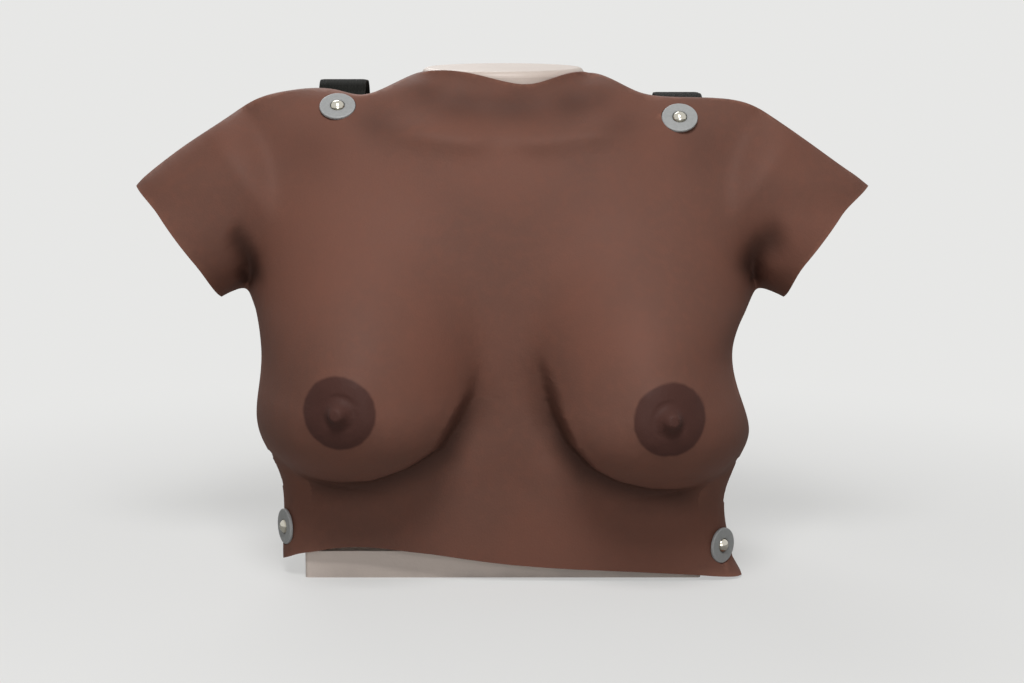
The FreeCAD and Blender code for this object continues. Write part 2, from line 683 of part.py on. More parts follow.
def filling_outline(nipple):
    """Four quarter ellipses round a breast, just inside the foot of its mound."""
    outward = math.copysign(1.0, nipple[0])
    side_reach = abs(flank(FLANK_Z, outward)[0]) - FILLING_SIDE_GAP - abs(nipple[0])
    corners = [(side_reach, 0.0), (0.0, FILLING_SHARE * REACH_UP),
               (-FILLING_SHARE * REACH_INWARD, 0.0), (0.0, -FILLING_SHARE * REACH_DOWN)]
    edges = []
    for i in range(4):
        start = corners[i]
        end = corners[(i + 1) % 4]
        points = []
        for k in range(7):
            turn = math.radians(15.0 * k)
            x = start[0] * math.cos(turn) + end[0] * math.sin(turn)
            z = start[1] * math.cos(turn) + end[1] * math.sin(turn)
            points.append((nipple[0] + outward * x, nipple[1] + z))
        edges.append(curve_through(points))
    return prism(edges)


RIVETS = {
    "left_shoulder": (LEFT_SHOULDER_RIVET, "over"),
    "right_shoulder": (RIGHT_SHOULDER_RIVET, "over"),
    "left_flank": (LEFT_FLANK_RIVET, "round"),
    "right_flank": (RIGHT_FLANK_RIVET, "round"),
}


def rivet_axis(name):
    """Seat of a rivet on the skin and its direction, square to its strap."""
    place, way = RIVETS[name]
    point, outward = surface_point(body_height, place[0], place[1], 0.0)
    if way == "over":
        return point, Vector(0, outward.y, outward.z).normalize()
    return point, Vector(outward.x, outward.y, 0).normalize()


def build():
    pieces = {}
    outer = behind(face_of(skin_height, 0.0))
    inner = behind(face_of(body_height, SKIN_WALL), 1.2 * SLAB_LENGTH)
    skin = skin_outline().common(outer).cut(inner)
    for nipple in (LEFT_NIPPLE, RIGHT_NIPPLE):
        point, outward = surface_point(body_height, nipple[0], nipple[1], 0.0)
        top = NIPPLE_HEIGHT + AREOLA_RISE
        stud = Part.makeCylinder(NIPPLE_RADIUS, top + 2.0, Vector(0, 0, -2.0))
        tip = [e for e in stud.Edges if e.BoundBox.ZMin > top - 0.1 and e.BoundBox.ZLength < 0.1]
        stud = stud.makeFillet(0.55 * NIPPLE_RADIUS, tip)
        skin = skin.fuse(placed(stud, point, outward))

    trunk = behind(face_of(trunk_height, SKIN_WALL + SOFT_CLEARANCE))
    back = in_front(face_of(back_height, 0.0, facing=-1.0))
    sides = []
    for side in (-1, 1):
        rise = [flank(z, side, SUPPORT_SIDE_INSET)
                for z in (TRUNK_FOOT, FLANK_Z, ARMPIT_Z, SHOULDER_Z, SUPPORT_SHOULDER_Z)]
        sides.append(rise)
    edges = []
    for side, rise in zip((-1, 1), sides):
        crest = (SHOULDER_LINE_LEFT if side < 0 else SHOULDER_LINE_RIGHT)[3:]
        crown = [(side * p[0], CROWN_Z + p[1] - SUPPORT_CROWN_INSET) for p in crest]
        edges.append(curve_through(rise))
        edges.append(curve_through([rise[-1]] + crown))
    ledge = CROWN_Z - SUPPORT_CROWN_INSET
    inner_left = (-SHOULDER_LINE_LEFT[-1][0], ledge + SHOULDER_LINE_LEFT[-1][1])
    inner_right = (SHOULDER_LINE_RIGHT[-1][0], ledge + SHOULDER_LINE_RIGHT[-1][1])
    edges.append(straight(inner_left, inner_right))
    edges.append(straight(sides[0][0], sides[1][0]))
    torso = prism(edges).common(trunk).common(back)

    neck_foot = NECK_TOP - NECK_LENGTH
    neck = Part.makeCylinder(1.0, NECK_TOP - neck_foot)
    matrix = FreeCAD.Matrix()
    matrix.scale(NECK_HALF_WIDTH, NECK_DEPTH, 1.0)
    neck = neck.transformGeometry(matrix)
    neck.translate(Vector(0, NECK_CENTRE_Y, neck_foot))
    rim = [e for e in neck.Edges if e.BoundBox.ZMin > NECK_TOP - 0.1 and e.BoundBox.ZLength < 0.1]
    neck = neck.makeFillet(NECK_EDGE_RADIUS, rim)
    plinth = tier(PLINTH_HALF_WIDTH, PLINTH_FRONT, 0.0, PLINTH_HEIGHT)
    groove = tier(GROOVE_HALF_WIDTH, GROOVE_FRONT, 0.5 * PLINTH_HEIGHT, TRUNK_FOOT + GROOVE_OVERLAP)
    support = torso.fuse(neck).fuse(groove).fuse(plinth)
    support = support.cut(strap_channel(LEFT_SHOULDER_RIVET, LEFT_STRAP_X, LEFT_STRAP_ARCH))
    support = support.cut(strap_channel(RIGHT_SHOULDER_RIVET, RIGHT_STRAP_X, RIGHT_STRAP_ARCH))

    straps = {
        "left_shoulder_strap": shoulder_strap(LEFT_SHOULDER_RIVET, LEFT_STRAP_X, LEFT_STRAP_ARCH),
        "right_shoulder_strap": shoulder_strap(RIGHT_SHOULDER_RIVET, RIGHT_STRAP_X,
                                               RIGHT_STRAP_ARCH),
        "waist_strap": waist_strap(),
    }

    for name, (place, way) in RIVETS.items():
        point, outward = rivet_axis(name)
        skin = skin.cut(seat_in_skin(point, outward))
        grip = grip_depth(way)
        room = pin(BACKING_RADIUS + 1.5, -grip - BACKING_THICKNESS - TAIL_THICKNESS - 1.0,
                   0.0, point, outward)
        support = support.cut(room)
        strap = name + "_strap" if way == "over" else "waist_strap"
        hole = pin(SHANK_RADIUS + SOFT_CLEARANCE, -grip - 4.0, 3.0, point, outward)
        straps[strap] = straps[strap].cut(hole)
        pieces[name + "_washer"] = washer_solid(point, outward)
        pieces[name + "_rivet"] = rivet_solid(point, outward, grip)
        pieces[name + "_backing_washer"] = backing_solid(point, outward, grip)

    under_skin = behind(face_of(body_height, SKIN_WALL + SOFT_CLEARANCE))
    over_support = behind(face_of(trunk_height, SKIN_WALL), 1.2 * SLAB_LENGTH)
    for side, nipple in (("left", LEFT_NIPPLE), ("right", RIGHT_NIPPLE)):
        insert = filling_outline(nipple).common(under_skin).cut(over_support)
        lumps = (("round_lump", ROUND_LUMP), ("smooth_lump", SMOOTH_LUMP), ("deep_lump", DEEP_LUMP))
        for kind, lump in lumps:
            centre = lump_place(nipple, lump)
            insert = insert.cut(ellipsoid(centre, lump[3:], SOFT_CLEARANCE))
            pieces[side + "_" + kind] = solid_from(ellipsoid(centre, lump[3:], 0.0))
        pieces[side + "_breast_filling"] = insert

    pieces["torso_skin"] = skin
    pieces["torso_support"] = support
    pieces["left_strap_slider"] = slider_solid(LEFT_STRAP_X)
    pieces["right_strap_slider"] = slider_solid(RIGHT_STRAP_X)
    pieces.update(straps)
    return pieces


def centre_on_floor(pieces):
    """Move the whole so that its box stands centred over the origin."""
    whole = Part.makeCompound(list(pieces.values()))
    box = whole.optimalBoundingBox(False)
    shift = Vector(-box.Center.x, -box.Center.y, -box.ZMin)
    for shape in pieces.values():
        shape.translate(shift)
    return shift


os.makedirs("parts", exist_ok=True)
pieces = build()
shift = centre_on_floor(pieces)
print("moved by", [round(value, 3) for value in shift])
for name, shape in sorted(pieces.items()):
    shape.exportStep("parts/" + name + ".step")
    box = shape.optimalBoundingBox(False)
    corners = [round(v, 1) for v in (box.XMin, box.XMax, box.YMin, box.YMax, box.ZMin, box.ZMax)]
    print(name, "solids", len(shape.Solids), "valid", shape.isValid(),
          "volume", round(shape.Volume), corners)
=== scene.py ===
import math

import bpy
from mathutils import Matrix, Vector
from mathutils.kdtree import KDTree


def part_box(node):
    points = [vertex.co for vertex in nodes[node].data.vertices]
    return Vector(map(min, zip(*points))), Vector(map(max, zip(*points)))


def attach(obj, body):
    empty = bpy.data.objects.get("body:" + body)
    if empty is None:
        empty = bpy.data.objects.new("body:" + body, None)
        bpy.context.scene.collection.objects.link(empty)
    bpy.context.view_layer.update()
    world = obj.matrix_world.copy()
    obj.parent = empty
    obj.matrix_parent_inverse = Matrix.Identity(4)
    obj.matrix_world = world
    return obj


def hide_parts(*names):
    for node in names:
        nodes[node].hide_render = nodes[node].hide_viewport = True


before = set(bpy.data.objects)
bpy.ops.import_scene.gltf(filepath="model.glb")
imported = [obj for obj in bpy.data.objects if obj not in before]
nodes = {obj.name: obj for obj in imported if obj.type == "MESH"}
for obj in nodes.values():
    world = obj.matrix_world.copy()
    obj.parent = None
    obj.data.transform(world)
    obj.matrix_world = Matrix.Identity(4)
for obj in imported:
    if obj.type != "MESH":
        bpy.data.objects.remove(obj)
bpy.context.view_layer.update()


# The studio. A pale seamless floor with the trainer standing on it, one soft
# lamp over the front, weaker ones low in front and behind, and a pale room.

FLOOR_COLOUR = (0.80, 0.80, 0.79, 1.0)
ROOM_COLOUR = (0.80, 0.80, 0.79, 1.0)
ROOM_FILL = 0.20
FLOOR_BOUNCE = (0.40, 0.40, 0.39, 1.0)
FLOOR_SIZE = 60.0
SHADOW_REACH = (0.25, 0.70)
SHADOW_WEIGHT = 0.45
# Each lamp: its place, where it points, the side of its square, its watts.
LAMPS = {
    "lamp_over_front": ((-0.05, -1.20, 1.78), (0.0, -0.05, 0.17), 0.75, 27.0),
    "lamp_front": ((0.25, -2.6, 0.60), (0.0, -0.05, 0.15), 1.2, 14.0),
    "lamp_behind": ((-0.5, 1.6, 1.4), (0.0, 0.0, 0.18), 1.0, 12.0),
}
CAMERA_PLACE = (0.0058, -1.7083, 0.428)
CAMERA_DOWN = 9.34
CAMERA_LENS = 95.4
CAMERA_SENSOR = 36.0


class Reading:
    """A number or colour that changes over a surface; + - * ** add Math nodes."""

    def __init__(self, finish, socket):
        self.finish = finish
        self.socket = socket

    def maths(self, operation, first, second=0.0):
        return self.finish.node("ShaderNodeMath", {0: first, 1: second}, operation=operation)

    def __add__(self, other):
        return self.maths("ADD", self, other)

    def __sub__(self, other):
        return self.maths("SUBTRACT", self, other)

    def __mul__(self, other):
        return self.maths("MULTIPLY", self, other)

    def __pow__(self, other):
        return self.maths("POWER", self, other)

    def __rsub__(self, other):
        return self.maths("SUBTRACT", other, self)

    __radd__ = __add__
    __rmul__ = __mul__

    def sine(self):
        return self.maths("SINE", self)

    def larger(self, other):
        return self.maths("MAXIMUM", self, other)

    def ramp(self, start, end):
        """0 up to start, 1 from end, smooth between; start may be above end."""
        sockets = {"Value": self, "From Min": start, "From Max": end}
        return self.finish.node("ShaderNodeMapRange", sockets, interpolation_type="SMOOTHSTEP")


class Finish:
    """One material and its nodes."""

    def __init__(self, name):
        self.material = bpy.data.materials.new(name)
        self.material.use_nodes = True
        self.tree = self.material.node_tree
        self.shader = self.tree.nodes["Principled BSDF"]

    def feed(self, socket, value):
        if isinstance(value, Reading):
            self.tree.links.new(value.socket, socket)
        else:
            socket.default_value = value

    def node(self, kind, sockets=None, output=0, **settings):
        """Add a node: settings first, then the values or links of its sockets."""
        made = self.tree.nodes.new(kind)
        for setting, value in settings.items():
            setattr(made, setting, value)
        for socket, value in (sockets or {}).items():
            self.feed(made.inputs[socket], value)
        return Reading(self, made.outputs[output])

    def place(self):
        """Where a point of the piece is, in metres."""
        return self.node("ShaderNodeTexCoord", output="Object")

    def radius(self, centre, axis):
        """Distance from a round piece's axis."""
        offset = self.node("ShaderNodeVectorMath", {0: self.place(), 1: centre}, operation="SUBTRACT")
        out = self.node("ShaderNodeVectorMath", {0: offset, 1: axis}, output="Value",
                        operation="DOT_PRODUCT")
        length = self.node("ShaderNodeVectorMath", {0: offset}, output="Value", operation="LENGTH")
        return (length * length - out * out).larger(0.0) ** 0.5

    def noise(self, size, detail=2.0):
        """Cloudy pattern whose patches are about this size in metres, from 0 to 1."""
        sockets = {"Vector": self.place(), "Scale": 1.0 / size, "Detail": detail}
        return self.node("ShaderNodeTexNoise", sockets)

    def cells(self, size):
        """Distance to the middle of small cells about this size in metres."""
        sockets = {"Vector": self.place(), "Scale": 1.0 / size}
        return self.node("ShaderNodeTexVoronoi", sockets)

    def mix(self, share, first, second):
        """From the first colour at share 0 to the second at share 1."""
        return self.node("ShaderNodeMix", {0: share, 6: first, 7: second}, output=2,
                         data_type="RGBA")

    def bump(self, height, depth, strength):
        """Small relief in metres."""
        sockets = {"Height": height, "Distance": depth, "Strength": strength}
        self.feed(self.shader.inputs["Normal"], self.node("ShaderNodeBump", sockets))

    def set(self, **values):
        for name, value in values.items():
            self.feed(self.shader.inputs[name.replace("_", " ")], value)


def deselect():
    """Leave edit mode and let go of everything, the frame's nodes too."""
    if bpy.context.object and bpy.context.object.mode != "OBJECT":
        bpy.ops.object.mode_set(mode="OBJECT")
    bpy.ops.object.select_all(action="DESELECT")


deselect()
bpy.ops.mesh.primitive_plane_add(size=FLOOR_SIZE)
floor = bpy.context.object
floor.name = "floor"
floor_finish = Finish("floor_paper")
floor_tree = floor_finish.tree
seen = floor_finish.node("ShaderNodeLightPath", output="Is Camera Ray")
floor_finish.set(Base_Color=floor_finish.mix(seen, FLOOR_BOUNCE, FLOOR_COLOUR), Roughness=0.9,
                 Specular_IOR_Level=0.1)
away = floor_finish.node("ShaderNodeVectorMath", {0: floor_finish.place()}, output="Value",
                         operation="LENGTH")
plain = floor_finish.node("ShaderNodeEmission", {"Color": FLOOR_COLOUR})
lit = Reading(floor_finish, floor_finish.shader.outputs[0])
unshaded = (away.ramp(*SHADOW_REACH) * SHADOW_WEIGHT + (1.0 - SHADOW_WEIGHT)) * seen
paper = floor_finish.node("ShaderNodeMixShader", {0: unshaded, 1: lit, 2: plain})
floor_tree.links.new(paper.socket, floor_tree.nodes["Material Output"].inputs["Surface"])
floor.data.materials.append(floor_finish.material)

world = bpy.data.worlds.new("pale_room")
world.use_nodes = True
bpy.context.scene.world = world
room = world.node_tree
path = room.nodes.new("ShaderNodeLightPath")
shown = path.outputs["Is Camera Ray"]
for ray in ("Is Glossy Ray", "Is Transmission Ray"):
    either = room.nodes.new("ShaderNodeMath")
    either.operation = "MAXIMUM"
    room.links.new(shown, either.inputs[0])
    room.links.new(path.outputs[ray], either.inputs[1])
    shown = either.outputs[0]
strength = room.nodes.new("ShaderNodeMapRange")
strength.inputs["To Min"].default_value = ROOM_FILL
strength.inputs["To Max"].default_value = 1.0
room.links.new(shown, strength.inputs["Value"])
background = room.nodes["Background"]
background.inputs["Color"].default_value = ROOM_COLOUR
room.links.new(strength.outputs[0], background.inputs["Strength"])


def soft_lamp(name, place, target, size, power):
    """Square soft box turned towards a point."""
    lamp = bpy.data.lights.new(name, "AREA")
    lamp.shape = "SQUARE"
    lamp.size = size
    lamp.energy = power
    holder = bpy.data.objects.new(name, lamp)
    bpy.context.scene.collection.objects.link(holder)
    holder.location = place
    holder.rotation_euler = (Vector(target) - Vector(place)).to_track_quat("-Z", "Y").to_euler()


for lamp_name, settings in LAMPS.items():
    soft_lamp(lamp_name, *settings)

bpy.context.scene.view_settings.view_transform = "Standard"
camera_data = bpy.data.cameras.new("camera")
camera_data.sensor_width = CAMERA_SENSOR
camera_data.lens = CAMERA_LENS
camera = bpy.data.objects.new("camera", camera_data)
bpy.context.scene.collection.objects.link(camera)
camera.location = CAMERA_PLACE
camera.rotation_euler = (math.radians(90.0 - CAMERA_DOWN), 0.0, 0.0)
bpy.context.scene.camera = camera


# The skin. One thick moulding of brown elastomer, cast over a body form with
# its breasts, areolae and nipples, and trimmed along hem, sleeves and neck with
# a knife, which leaves a slightly redder, lighter edge.

SKIN_COLOUR = (0.172, 0.076, 0.054, 1.0)
SKIN_WARM = (0.188, 0.079, 0.055, 1.0)
SKIN_DULL = (0.150, 0.071, 0.052, 1.0)
# The colour of painted shade in the folds under the breasts, the hollows and the wrinkles.
SKIN_SHADE = (0.075, 0.036, 0.027, 1.0)
AREOLA_COLOUR = (0.070, 0.030, 0.024, 1.0)
NIPPLE_COLOUR = (0.080, 0.035, 0.028, 1.0)
EDGE_COLOUR = (0.240, 0.108, 0.075, 1.0)

NIPPLES = (Vector((-0.0983, -0.1092, 0.1205)), Vector((0.1010, -0.1074, 0.1160)))
NIPPLE_AXES = (Vector((-0.253, -0.966, 0.055)).normalized(),
               Vector((0.293, -0.947, 0.133)).normalized())
NIPPLE_HEIGHT = 0.0078
NIPPLE_HALF_WIDTH = 0.0058
NIPPLE_STEEPNESS = 5
NIPPLE_FOOT = 0.010
NIPPLE_REACH = 0.0135
NIPPLE_RING = 0.016
SKIN_UNDER_NIPPLE = 0.0035
NIPPLE_SMOOTHED = 0.0115
NIPPLE_TINT = (0.0082, 0.0050)
AREOLA_RADIUS = 0.0225
AREOLA_FADE_OUT = 0.0008
AREOLA_FADE_IN = 0.0014
AREOLA_RAGGED = 0.0022
BREAST_CURVE = 0.080
BREAST_FRONT = (-0.070, -0.078)

# Where each breast folds onto the trunk, from the middle outwards, as x and z.
CREASES = (
    ((-0.011, 0.145), (-0.017, 0.122), (-0.0265, 0.104), (-0.0365, 0.0873), (-0.0555, 0.0752),
     (-0.081, 0.0645), (-0.101, 0.0620), (-0.121, 0.0635), (-0.136, 0.0700)),
    ((0.0175, 0.152), (0.0225, 0.136), (0.030, 0.110), (0.0387, 0.0911), (0.053, 0.0753),
     (0.069, 0.0663), (0.090, 0.0599), (0.107, 0.0575), (0.122, 0.0565), (0.141, 0.0610)),
)
CREASE_LOW = 0.03
CREASE_HIGH = 0.17
TRUNK_Y = -0.0460
TRUNK_INSIDE_Y = -0.0410
TRUNK_ROOM = 0.012
CREASE_WALL = 0.0085
CREASE_FLOOR = 0.012
CREASE_REACH = 0.032
CREASE_SMOOTHED = 0.016
# Fades come in pairs, each as where it is 0 and where it is 1.
CREASE_ENDS = ((-0.02, 0.28), (1.0, 0.84))
CREASE_SHADE_ENDS = ((0.0, 0.42), (1.0, 0.80))
CREASE_SHADE_SIDES = ((0.010, 0.0), (-0.017, 0.0))

# Wrinkles of the armpits: x and z along each, half width, depth.
WRINKLES = (
    (((-0.181, 0.220), (-0.173, 0.2145), (-0.167, 0.203), (-0.161, 0.192), (-0.157, 0.180)),
     0.0080, 0.0036),
    (((-0.172, 0.196), (-0.168, 0.187), (-0.167, 0.179)), 0.0045, 0.0022),
    (((0.194, 0.218), (0.182, 0.2140), (0.169, 0.2070), (0.159, 0.1970), (0.150, 0.186)),
     0.0120, 0.0038),
    (((0.168, 0.200), (0.164, 0.190), (0.163, 0.181)), 0.0055, 0.0016),
)
WRINKLE_ENDS = ((0.0, 0.35), (1.0, 0.8))
# How much painted shade the wrinkles get at their deepest.
WRINKLE_SHADE = 0.95
WRINKLE_SPAN = 2.2

# Hollows under the neckline and by the collarbones, and, with a depth below
# zero, the swells under them: x, z, reach across, reach up, depth.
HOLLOWS = (
    (0.005, 0.2960, 0.030, 0.0090, 0.0036), (0.046, 0.2990, 0.014, 0.0085, 0.0034),
    (0.064, 0.3010, 0.009, 0.0070, 0.0016), (-0.029, 0.2985, 0.015, 0.0085, 0.0024),
    (-0.050, 0.3040, 0.011, 0.0080, 0.0024), (-0.080, 0.2860, 0.014, 0.0100, 0.0026),
    (0.076, 0.2860, 0.012, 0.0080, 0.0020), (0.005, 0.2790, 0.055, 0.0090, -0.0034),
    (-0.052, 0.2850, 0.018, 0.0075, -0.0024), (0.056, 0.2840, 0.016, 0.0070, -0.0024),
    (-0.125, 0.2700, 0.022, 0.0180, 0.0018), (0.130, 0.2700, 0.022, 0.0180, 0.0018),
)
# Painted shade in the hollows, per metre of their depth.
HOLLOW_SHADE_PER_METRE = 190.0
HOLLOW_SPAN = 2.0

# How far the sleeves' cuts lie in from the solid's, and how the hem hangs.
SLEEVE_TRIM_LEFT = 0.0065
SLEEVE_TRIM_RIGHT = 0.0100
SLEEVE_TRIM_X = (0.145, 0.190)
SLEEVE_TRIM_Z = ((0.252, 0.228), (0.163, 0.198))
HEM_TOP = 0.040
HEM_FULL = 0.010
HEM_SAG = 0.0025
HEM_SAG_X = ((-0.132, -0.115), (-0.030, -0.070))
CORNER_OUT = 0.0040
CORNER_FORWARD = 0.0050
CORNER_X = (0.118, 0.146)
CORNER_Z = (0.0085, 0.001)
CUT_EDGE_FADE = (0.0034, 0.0012)
CUT_FACE_TILT = 0.02
CUT_FACE_BEHIND_NIPPLES = 0.020
OUTER_FACE_TILT = -0.05
SMOOTH_ANGLE = 50.0

# How near the folds and the nipples the mesh is divided finer, once for each.
CREASE_FINE = (0.034, 0.013)
NIPPLE_FINE = (0.026, 0.016)


def copy_of_node(name, node):
    """A new piece that starts as a merged copy of a node's mesh."""
    deselect()
    piece = bpy.data.objects.new(name, nodes[node].data.copy())
    bpy.context.scene.collection.objects.link(piece)
    bpy.context.view_layer.objects.active = piece
    piece.select_set(True)
    piece.data.materials.clear()
    bpy.ops.object.mode_set(mode="EDIT")
    bpy.ops.mesh.select_all(action="SELECT")
    bpy.ops.mesh.customdata_custom_splitnormals_clear()
    bpy.ops.mesh.remove_doubles(threshold=0.00001)
    bpy.ops.object.mode_set(mode="OBJECT")
    return piece


def select_vertices(piece, wanted):
    """Select the vertices that pass a test, ready for an operator in edit mode."""
    bpy.context.view_layer.objects.active = piece
    bpy.ops.object.mode_set(mode="EDIT")
    bpy.ops.mesh.select_mode(type="VERT")
    bpy.ops.mesh.select_all(action="DESELECT")
    bpy.ops.object.mode_set(mode="OBJECT")
    for vertex in piece.data.vertices:
        vertex.select = wanted(vertex)
    bpy.ops.object.mode_set(mode="EDIT")


def smooth_share(value, start, end):
    """0 up to start, 1 from end, smooth between; start may be above end."""
    share = min(max((value - start) / (end - start), 0.0), 1.0)
    return share * share * (3.0 - 2.0 * share)


def between(value, first, last):
    """1 between two fades, each given as where it is 0 and where it is 1."""
    return smooth_share(value, *first) * smooth_share(value, *last)


def from_line(point, line):
    """Distance from a line across the front, signed to the side it folds round,
    and how far along it that is, from 0 to 1."""
    nearest = None
    for number, (start, end) in enumerate(zip(line, line[1:])):
        run_x, run_z = end[0] - start[0], end[1] - start[1]
        off_x, off_z = point.x - start[0], point.z - start[1]
        share = (off_x * run_x + off_z * run_z) / (run_x * run_x + run_z * run_z)
        share = min(max(share, 0.0), 1.0)
        gap = math.hypot(off_x - run_x * share, off_z - run_z * share)
        if nearest is None or gap < nearest[0]:
            side = 1.0 if (run_x * off_z - run_z * off_x) * line[-1][0] > 0.0 else -1.0
            nearest = (gap, side, (number + share) / (len(line) - 1))
    gap, side, along = nearest
    return gap * side, along


def fold_back(point, trunk):
    """How far a point beside or below a breast goes back to lie on the trunk."""
    back = 0.0
    for line in CREASES:
        gap, along = from_line(point, line)
        ends = between(along, *CREASE_ENDS)
        if gap > 0.0:
            share = smooth_share(gap, CREASE_WALL, 0.0)
        else:
            share = smooth_share(-gap, CREASE_REACH, CREASE_FLOOR)
        back = max(back, share * ends * max(trunk - point.y, 0.0))
    return back


def on_front(vertex):
    """Whether a vertex belongs to the outer face."""
    return vertex.normal.y <= OUTER_FACE_TILT


def near_crease(reach):
    """Test for vertices of the outer face within a reach of the breasts' folds."""
    def test(vertex):
        if not on_front(vertex) or vertex.co.z > CREASE_HIGH or vertex.co.z < CREASE_LOW:
            return False
        return min(abs(from_line(vertex.co, line)[0]) for line in CREASES) < reach
    return test


def near_relief(vertex):
    """Test for vertices of the outer face about the wrinkles and hollows."""
    if not on_front(vertex) or vertex.co.z < CREASE_HIGH:
        return False
    for x, z, across, up, _ in HOLLOWS:
        if math.hypot((vertex.co.x - x) / across, (vertex.co.z - z) / up) < HOLLOW_SPAN:
            return True
    return any(abs(from_line(vertex.co, line)[0]) < WRINKLE_SPAN * width for line, width, _ in WRINKLES)


def from_axis(point, centre, axis):
    """Distance from an axis, and how far out along it."""
    offset = point - centre
    out = offset.dot(axis)
    return (offset - axis * out).length, out


def near_nipple(reach):
    """Test for vertices of the outer face within a reach of either nipple."""
    def test(vertex):
        for centre, axis in zip(NIPPLES, NIPPLE_AXES):
            radius, out = from_axis(vertex.co, centre, axis)
            if radius < reach and out > -SKIN_UNDER_NIPPLE:
                return True
        return False
    return test


def mark_cut_edges(piece, trimmed):
    """Mark how near each vertex is to a face that the trimming knife left."""
    tree = KDTree(len(trimmed))
    for number, middle_of_face in enumerate(trimmed):
        tree.insert(middle_of_face, number)
    tree.balance()
    cut_edge = piece.data.attributes.new("cut_edge", "FLOAT", "POINT")
    for vertex in piece.data.vertices:
        _, _, distance = tree.find(vertex.co)
        cut_edge.data[vertex.index].value = smooth_share(distance, *CUT_EDGE_FADE)


def round_nipple(piece, centre, axis):
    """A soft round nipple on a slightly domed areola."""
    placed = [(vertex, *from_axis(vertex.co, centre, axis)) for vertex in piece.data.vertices]
    placed = [row for row in placed if row[1] < NIPPLE_RING and row[2] > -SKIN_UNDER_NIPPLE]
    ring = [out for _, radius, out in placed if radius > NIPPLE_REACH]
    level = sum(ring) / len(ring)
    for vertex, radius, out in placed:
        dome = level + (NIPPLE_REACH ** 2 - radius ** 2) / (2.0 * BREAST_CURVE)
        rise = NIPPLE_HEIGHT / (1.0 + (radius / NIPPLE_HALF_WIDTH) ** NIPPLE_STEEPNESS)
        share = smooth_share(radius, NIPPLE_REACH, NIPPLE_FOOT)
        vertex.co += axis * (dome + rise - out) * share


def press_fold(point, outside):
    """Lay the skin below a breast on the trunk, and give the painted shade of the fold there."""
    dark = 0.0
    for line in CREASES:
        gap, along = from_line(point, line)
        ends = between(along, *CREASE_SHADE_ENDS)
        dark = max(dark, ends * between(gap, *CREASE_SHADE_SIDES))
    point.y += fold_back(point, TRUNK_Y if outside else TRUNK_INSIDE_Y)
    return dark


def press_hollows(point):
    """Press the hollows and wrinkles into the chest, and give their painted shade there."""
    dark = 0.0
    for x, z, across, up, depth in HOLLOWS:
        share = math.exp(-((point.x - x) / across) ** 2 - ((point.z - z) / up) ** 2)
        point.y += depth * share
        dark += max(depth, 0.0) * HOLLOW_SHADE_PER_METRE * share
    for line, width, depth in WRINKLES:
        gap, along = from_line(point, line)
        share = between(along, *WRINKLE_ENDS) * math.exp(-(gap / width) ** 2)
        point.y += depth * share
        dark = max(dark, WRINKLE_SHADE * share)
    return dark


def trim_sleeve(point):
    """Bring the sleeve's cut in towards the arm's root."""
    trim = SLEEVE_TRIM_LEFT if point.x < 0.0 else SLEEVE_TRIM_RIGHT
    trim *= between(point.z, *SLEEVE_TRIM_Z)
    trim *= smooth_share(abs(point.x), *SLEEVE_TRIM_X)
    point.x -= math.copysign(trim, point.x)


def hang_hem(point):
    """Let the hem sag at the left and flare at its right corner."""
    low = smooth_share(point.z, HEM_TOP, HEM_FULL)
    sag = between(point.x, *HEM_SAG_X)
    corner = smooth_share(point.x, *CORNER_X) * smooth_share(point.z, *CORNER_Z)
    point.z -= HEM_SAG * low * sag
    point.x += CORNER_OUT * corner
    point.y -= CORNER_FORWARD * corner


skin = copy_of_node("moulded_skin", "torso_skin")
trimmed = [face.center.copy() for face in skin.data.polygons
           if abs(face.normal.y) < CUT_FACE_TILT
           and face.center.y > NIPPLES[0].y + CUT_FACE_BEHIND_NIPPLES]
tests = [near_crease(reach) for reach in CREASE_FINE] + [near_relief]
tests += [near_nipple(reach) for reach in NIPPLE_FINE]
for test in tests:
    select_vertices(skin, test)
    bpy.ops.mesh.subdivide(number_cuts=1)
    bpy.ops.object.mode_set(mode="OBJECT")
mark_cut_edges(skin, trimmed)

for centre, axis in zip(NIPPLES, NIPPLE_AXES):
    round_nipple(skin, centre, axis)
select_vertices(skin, near_nipple(NIPPLE_SMOOTHED))
bpy.ops.mesh.remove_doubles(threshold=0.0002)
bpy.ops.mesh.vertices_smooth(factor=0.5, repeat=5)
bpy.ops.object.mode_set(mode="OBJECT")

# Painted shade kept on each vertex: the folds under the breasts, the hollows by the neck and
# collarbones, and the armpit wrinkles.
fold_shade = skin.data.attributes.new("fold_shade", "FLOAT", "POINT")
faces_front = [vertex.normal.y < 0.0 for vertex in skin.data.vertices]
for vertex, outside in zip(skin.data.vertices, faces_front):
    point = vertex.co
    if CREASE_LOW < point.z < CREASE_HIGH and point.y < TRUNK_Y + TRUNK_ROOM:
        fold_shade.data[vertex.index].value = press_fold(point, outside)
    elif outside and point.z > CREASE_HIGH:
        fold_shade.data[vertex.index].value = press_hollows(point)
    trim_sleeve(point)
    if point.z < HEM_TOP:
        hang_hem(point)
select_vertices(skin, near_crease(CREASE_SMOOTHED))
bpy.ops.mesh.vertices_smooth(factor=0.5, repeat=6)
bpy.ops.object.mode_set(mode="OBJECT")
deselect()
skin.select_set(True)
bpy.ops.object.shade_smooth_by_angle(angle=math.radians(SMOOTH_ANGLE))

